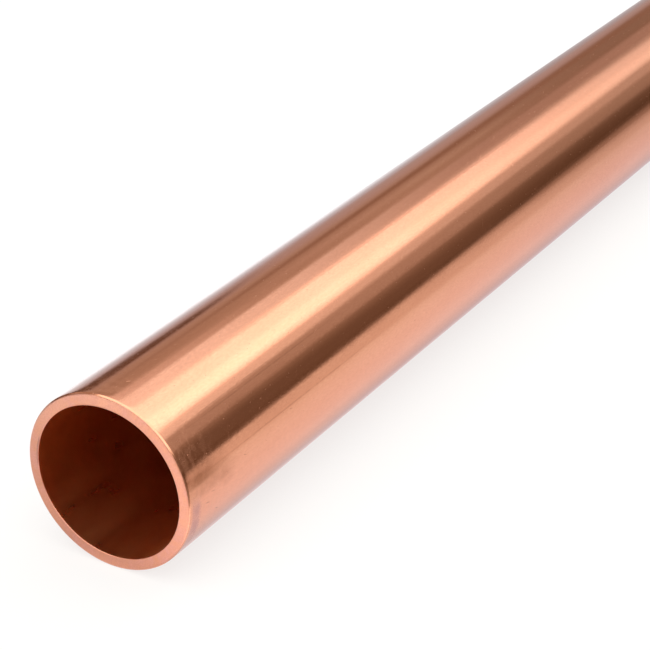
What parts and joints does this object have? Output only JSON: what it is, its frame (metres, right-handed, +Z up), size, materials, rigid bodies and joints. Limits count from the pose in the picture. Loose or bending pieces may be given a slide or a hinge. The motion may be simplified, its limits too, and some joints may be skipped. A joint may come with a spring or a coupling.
{
  "type": "copper tube",
  "caption": "Straight length of bright drawn copper tube with an open bore and square cut ends.",
  "frame": {"origin": "on the surface that the tube lies on, below the middle of its length", "axes": "+X along the tube, +Z up, with the underside of the tube at z = 0"},
  "size_m": [0.5, 0.022, 0.022],
  "materials": {
    "copper": "bright drawn copper, satin on the cut ends"
  },
  "bodies": {
    "root": {"copper_tube": "copper"}
  },
  "joints": []
}
